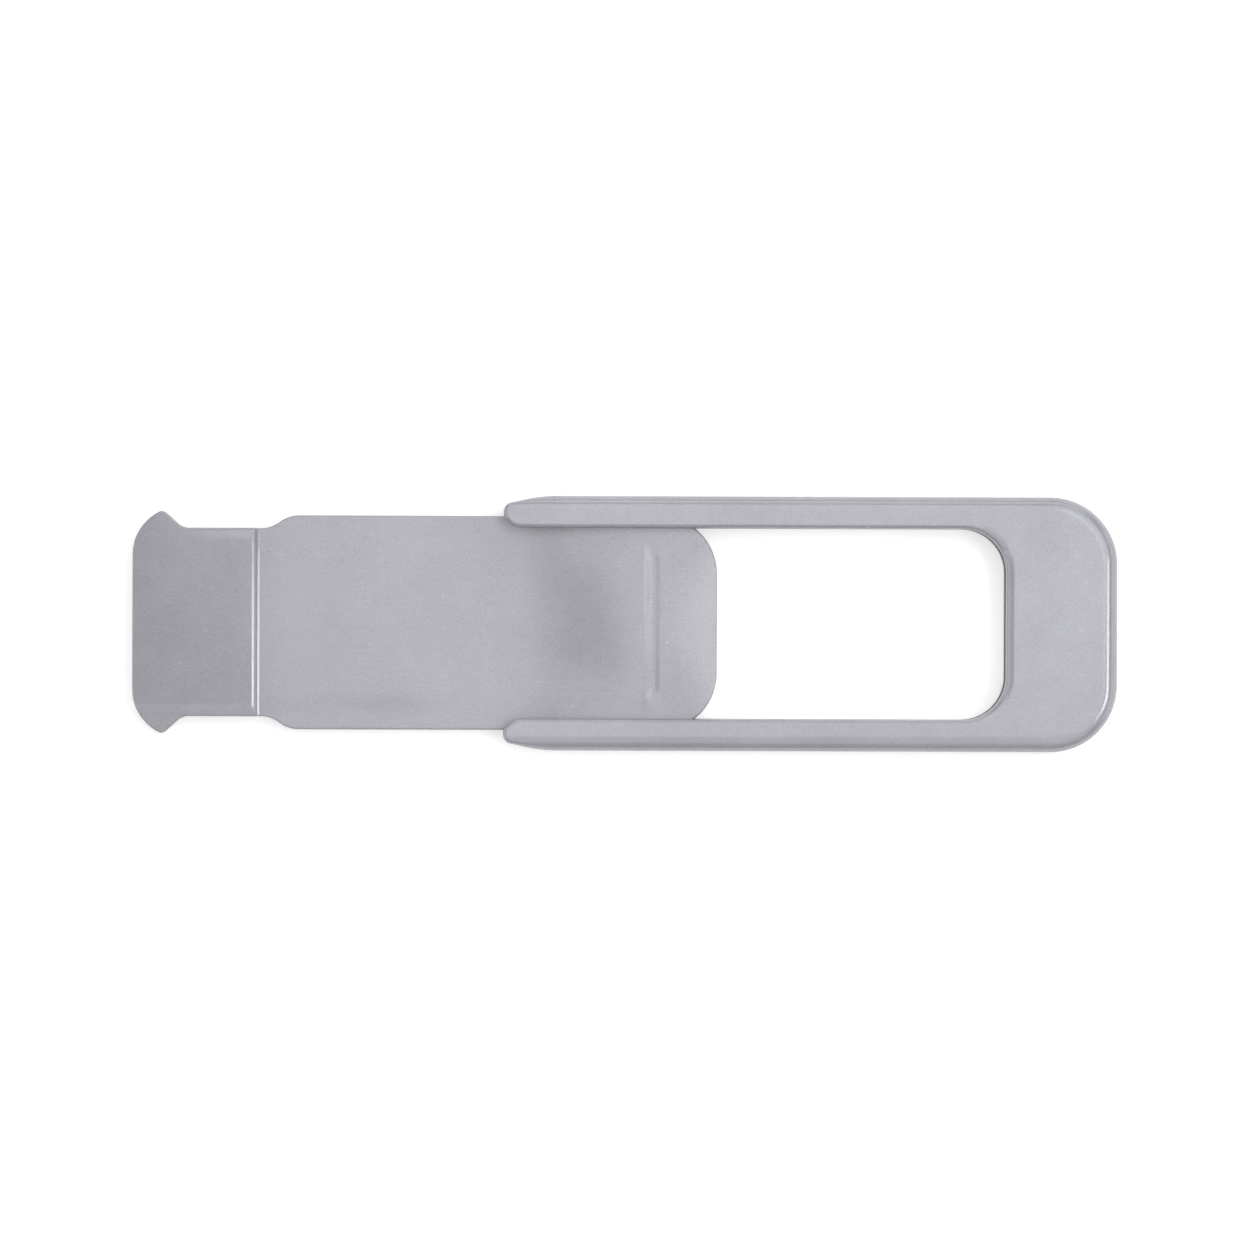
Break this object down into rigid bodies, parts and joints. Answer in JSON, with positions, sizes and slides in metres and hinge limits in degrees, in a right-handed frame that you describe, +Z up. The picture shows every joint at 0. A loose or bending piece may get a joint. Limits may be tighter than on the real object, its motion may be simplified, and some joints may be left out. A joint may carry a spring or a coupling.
{
  "type": "webcam cover slider",
  "caption": "Slim U-shaped rail frame stuck round a laptop camera, with an eared plate that slides along its grooves to cover or clear the lens.",
  "frame": {"origin": "below the middle of the clear window, on the face that is stuck to the laptop", "axes": "+X along the rails towards the closed end, which is the way the cover closes; +Z up, away from the laptop"},
  "size_m": [0.0464, 0.012, 0.0018],
  "materials": {
    "frame_plastic": "satin silver grey",
    "cover_plastic": "satin silver grey",
    "tape": "matt foam tape"
  },
  "bodies": {
    "frame": {"rail_frame": "frame_plastic", "adhesive_tape": "tape"},
    "cover": {"sliding_cover": "cover_plastic"}
  },
  "joints": [
    {"name": "cover_slide", "type": "slide", "parent": "frame", "child": "cover", "axis": [1, 0, 0], "range_m": [0, 0.0156]}
  ]
}
